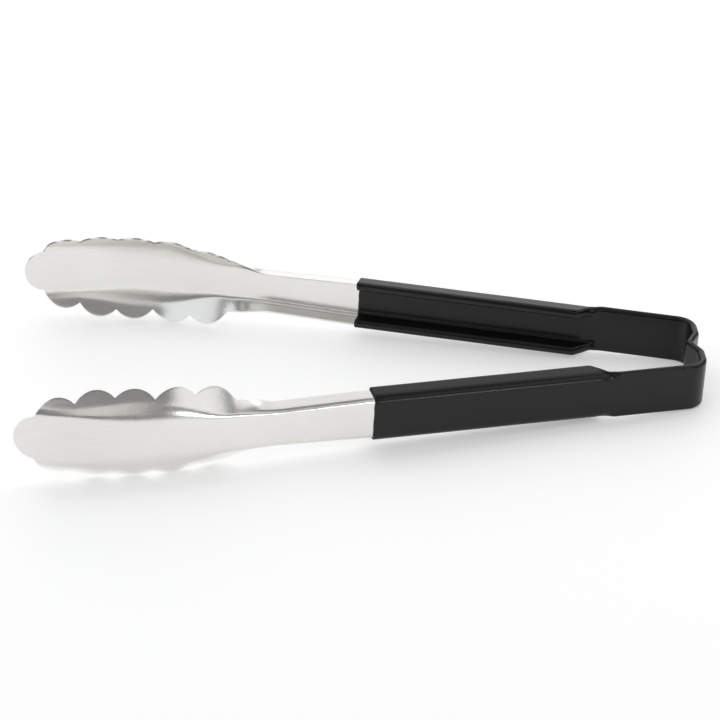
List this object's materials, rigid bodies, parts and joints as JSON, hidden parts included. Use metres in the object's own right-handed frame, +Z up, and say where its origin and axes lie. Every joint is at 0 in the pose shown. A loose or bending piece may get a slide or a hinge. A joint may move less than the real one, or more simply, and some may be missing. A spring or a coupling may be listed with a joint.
{
  "type": "spring loaded kitchen tongs",
  "caption": "Kitchen tongs bent from one strip of stainless sheet: scalloped heads, flanged arms, flat springing leaves, creased bridge, black dipped vinyl grips.",
  "frame": {"origin": "centre of the bounding box's bottom, on the surface that the tongs lie on", "axes": "+X along the length from the heads to the bridge, +Y across from the near arm to the far arm, +Z up, along the strip's width"},
  "size_m": [0.3052, 0.1572, 0.043],
  "materials": {
    "steel": "satin",
    "vinyl": "satin"
  },
  "bodies": {
    "bridge": {"bridge_steel": "steel", "bridge_coat": "vinyl"},
    "near_arm": {"near_arm_steel": "steel", "near_handle_coat": "vinyl"},
    "far_arm": {"far_arm_steel": "steel", "far_handle_coat": "vinyl"}
  },
  "joints": [
    {"name": "near_arm_flex", "type": "hinge", "parent": "bridge", "child": "near_arm", "pos_m": [0.12955, -0.02566, 0.0122], "axis": [-0.0401, 0, -0.9992], "range_deg": [0, 14.7], "stiffness_Nm_per_rad": 3.9},
    {"name": "far_arm_flex", "type": "hinge", "parent": "bridge", "child": "far_arm", "pos_m": [0.12955, 0.02566, 0.0122], "axis": [0.0401, 0, 0.9992], "range_deg": [0, 14.7], "stiffness_Nm_per_rad": 3.9}
  ]
}
